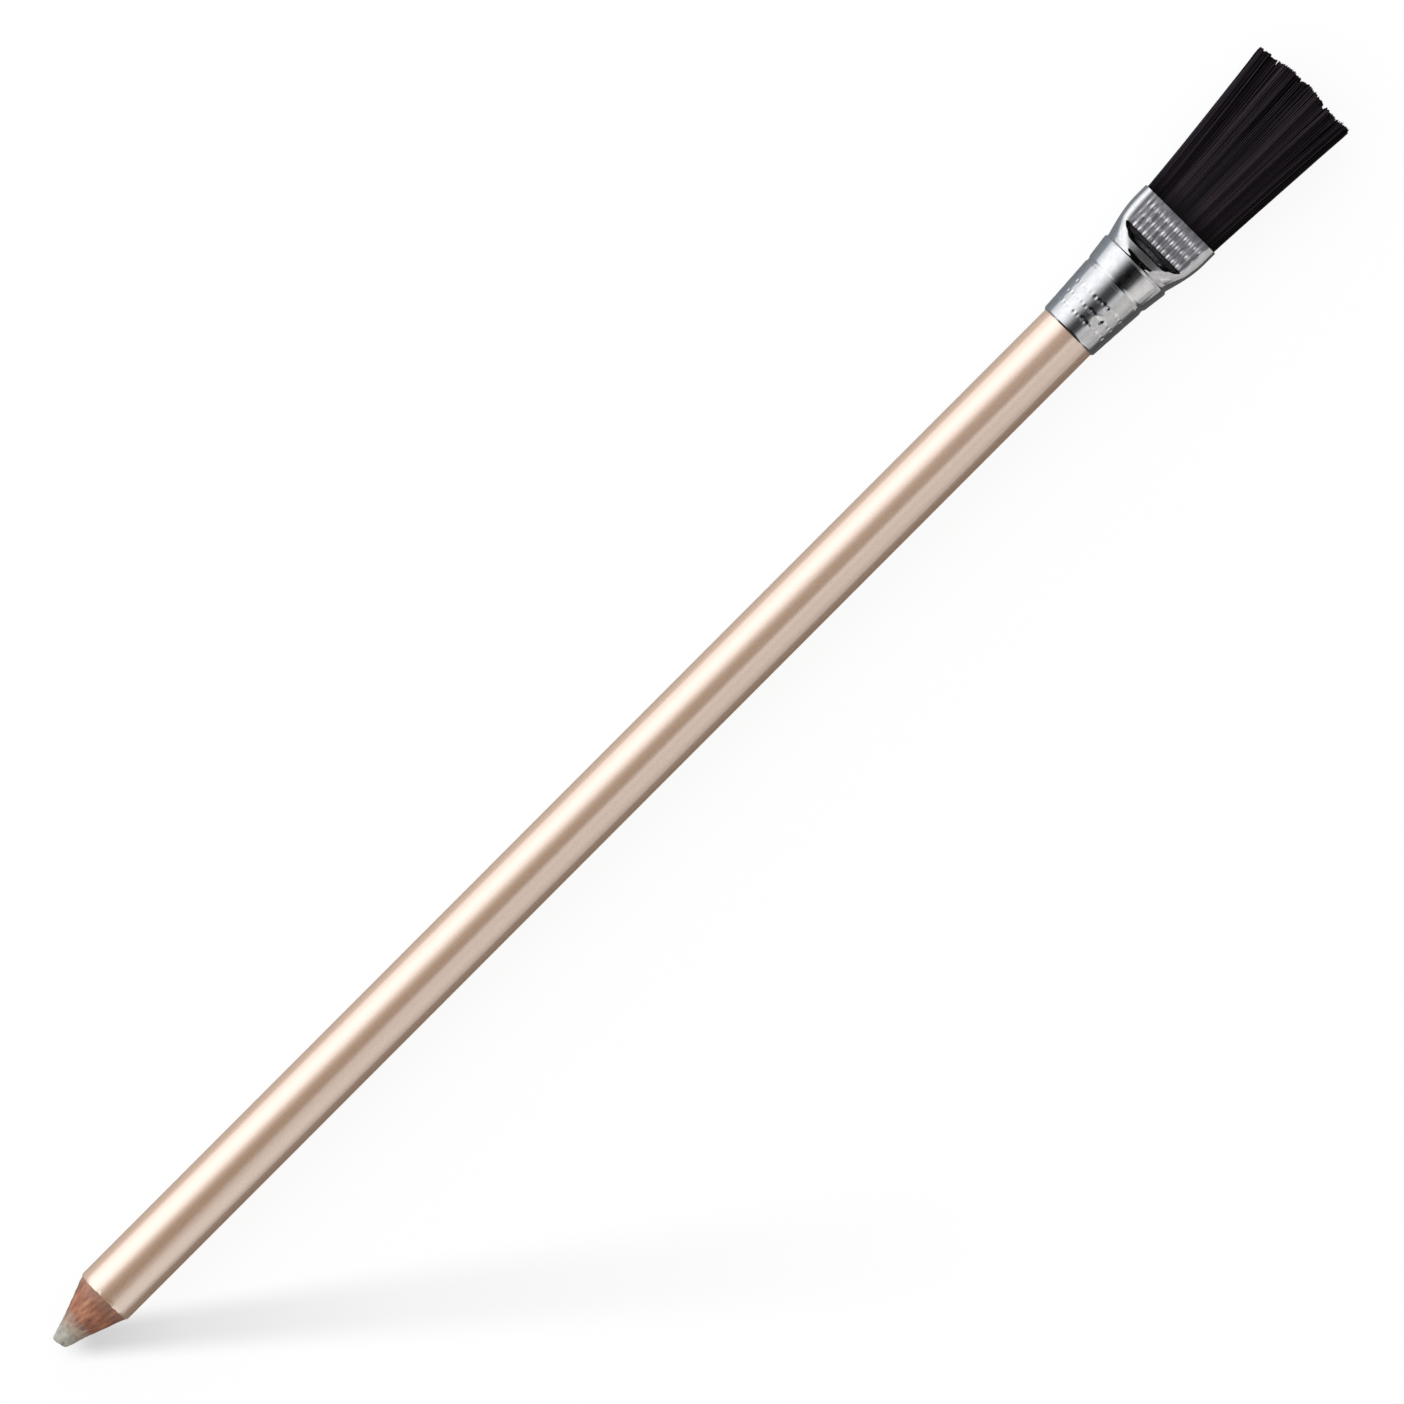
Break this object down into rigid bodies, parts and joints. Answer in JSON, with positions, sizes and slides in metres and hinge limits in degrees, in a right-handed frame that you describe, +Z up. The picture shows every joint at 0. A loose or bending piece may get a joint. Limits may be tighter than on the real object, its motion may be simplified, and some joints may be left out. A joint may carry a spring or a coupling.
{
  "type": "eraser pencil with brush",
  "caption": "Wood-cased eraser pencil: a sharpened eraser core in a round lacquered barrel, with a flat brush in a pressed metal ferrule to sweep crumbs away.",
  "frame": {"origin": "on the ground under the middle of the pencil's length, with the pencil lying flat", "axes": "+X along the pencil from the eraser's point to the brush, +Y across the brush's width, +Z up through its thickness"},
  "size_m": [0.2082, 0.0146, 0.0098],
  "materials": {
    "eraser": "matt, gritty, worn at the point",
    "wood": "sharpened, unfinished",
    "lacquer": "pearl lacquer, glossy",
    "ferrule_metal": "bright drawn sheet",
    "glue": "set adhesive",
    "resin": "set resin",
    "bristle": "black nylon filament"
  },
  "bodies": {
    "root": {"eraser_core": "eraser", "upper_slat": "wood", "lower_slat": "wood", "lacquer_coat": "lacquer", "ferrule": "ferrule_metal", "glue_ring": "glue", "resin_plug": "resin", "bristles": "bristle"}
  },
  "joints": []
}
